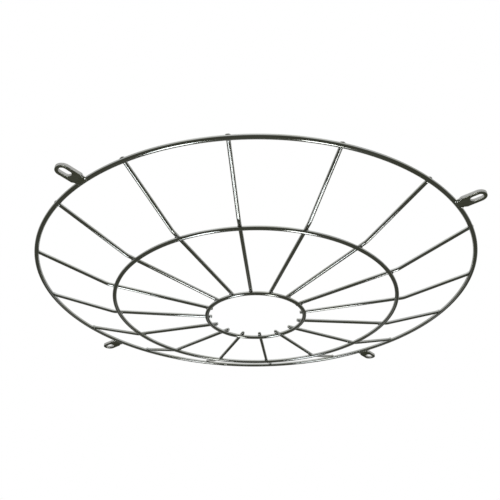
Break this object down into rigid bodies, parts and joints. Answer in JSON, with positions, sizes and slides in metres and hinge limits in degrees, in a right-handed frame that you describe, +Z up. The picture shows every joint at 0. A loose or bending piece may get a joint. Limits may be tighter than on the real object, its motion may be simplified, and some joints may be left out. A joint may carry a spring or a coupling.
{
  "type": "bulb cage guard",
  "caption": "Shallow dish-shaped welded wire guard with a round rim, smaller rings, bent radial spokes and slotted tabs, bolted under a lamp to protect its bulb.",
  "frame": {"origin": "on the guard's axis, in the plane that the inner ring's underside lies in", "axes": "+Z up along the axis, from the dish to the rim, as the guard hangs in use; +X and +Y out through the middles of two neighbouring tabs"},
  "size_m": [0.4556, 0.4556, 0.0398],
  "materials": {
    "plated_steel": "bright plated steel wire and plate"
  },
  "bodies": {
    "root": {"outer_rim": "plated_steel", "middle_ring": "plated_steel", "inner_ring": "plated_steel", "spoke_01": "plated_steel", "spoke_02": "plated_steel", "spoke_03": "plated_steel", "spoke_04": "plated_steel", "spoke_05": "plated_steel", "spoke_06": "plated_steel", "spoke_07": "plated_steel", "spoke_08": "plated_steel", "spoke_09": "plated_steel", "spoke_10": "plated_steel", "spoke_11": "plated_steel", "spoke_12": "plated_steel", "spoke_13": "plated_steel", "spoke_14": "plated_steel", "spoke_15": "plated_steel", "spoke_16": "plated_steel", "tab_01": "plated_steel", "tab_02": "plated_steel", "tab_03": "plated_steel", "tab_04": "plated_steel"}
  },
  "joints": []
}
